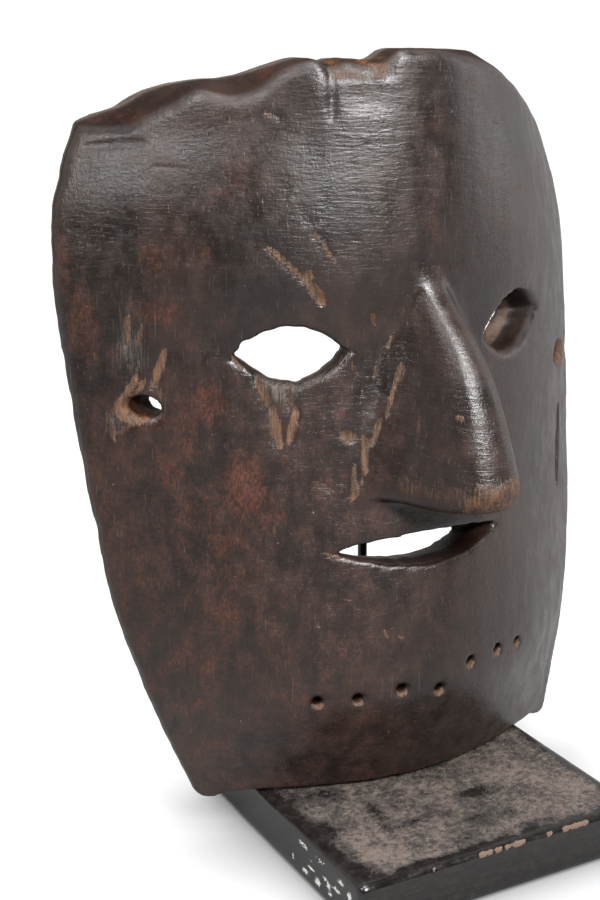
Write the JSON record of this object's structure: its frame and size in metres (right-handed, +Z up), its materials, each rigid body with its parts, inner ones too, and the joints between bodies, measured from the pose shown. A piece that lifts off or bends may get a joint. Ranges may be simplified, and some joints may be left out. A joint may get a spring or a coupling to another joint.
{
  "type": "carved mask on display stand",
  "caption": "Carved wooden face mask with an open back, wedge nose and slit mouth, standing on a lacquered display base and leaning on a padded wire armature.",
  "frame": {"origin": "centre of the base's underside, on the felt", "axes": "+Z up, the face looks along -Y, +X at the viewer's right"},
  "size_m": [0.2, 0.1262, 0.2584],
  "materials": {
    "old_dark_wood": "dark brown hand-rubbed patina, satin, worn tan and reddish in places",
    "black_lacquer": "black gloss lacquer, dusty and scuffed on top, chipped at the edges",
    "black_felt": "matt felt",
    "brass": "dull turned brass",
    "blackened_steel": "satin black",
    "black_rubber": "matt rubber sleeve"
  },
  "bodies": {
    "base": {"base_block": "black_lacquer", "base_felt": "black_felt", "post_bush": "brass"},
    "armature": {"post_rod": "blackened_steel", "crossbar": "blackened_steel", "pad_left": "black_rubber", "pad_right": "black_rubber"},
    "mask": {"mask_shell": "old_dark_wood"}
  },
  "joints": [
    {"name": "post_turn", "type": "hinge", "parent": "base", "child": "armature", "pos_m": [0, 0.0375, 0.0171], "axis": [0, 0, 1], "range_deg": [-14, 9]},
    {"name": "mask_lift", "type": "slide", "parent": "armature", "child": "mask", "axis": [0, 0, 1], "range_m": [0, 0.21]}
  ]
}
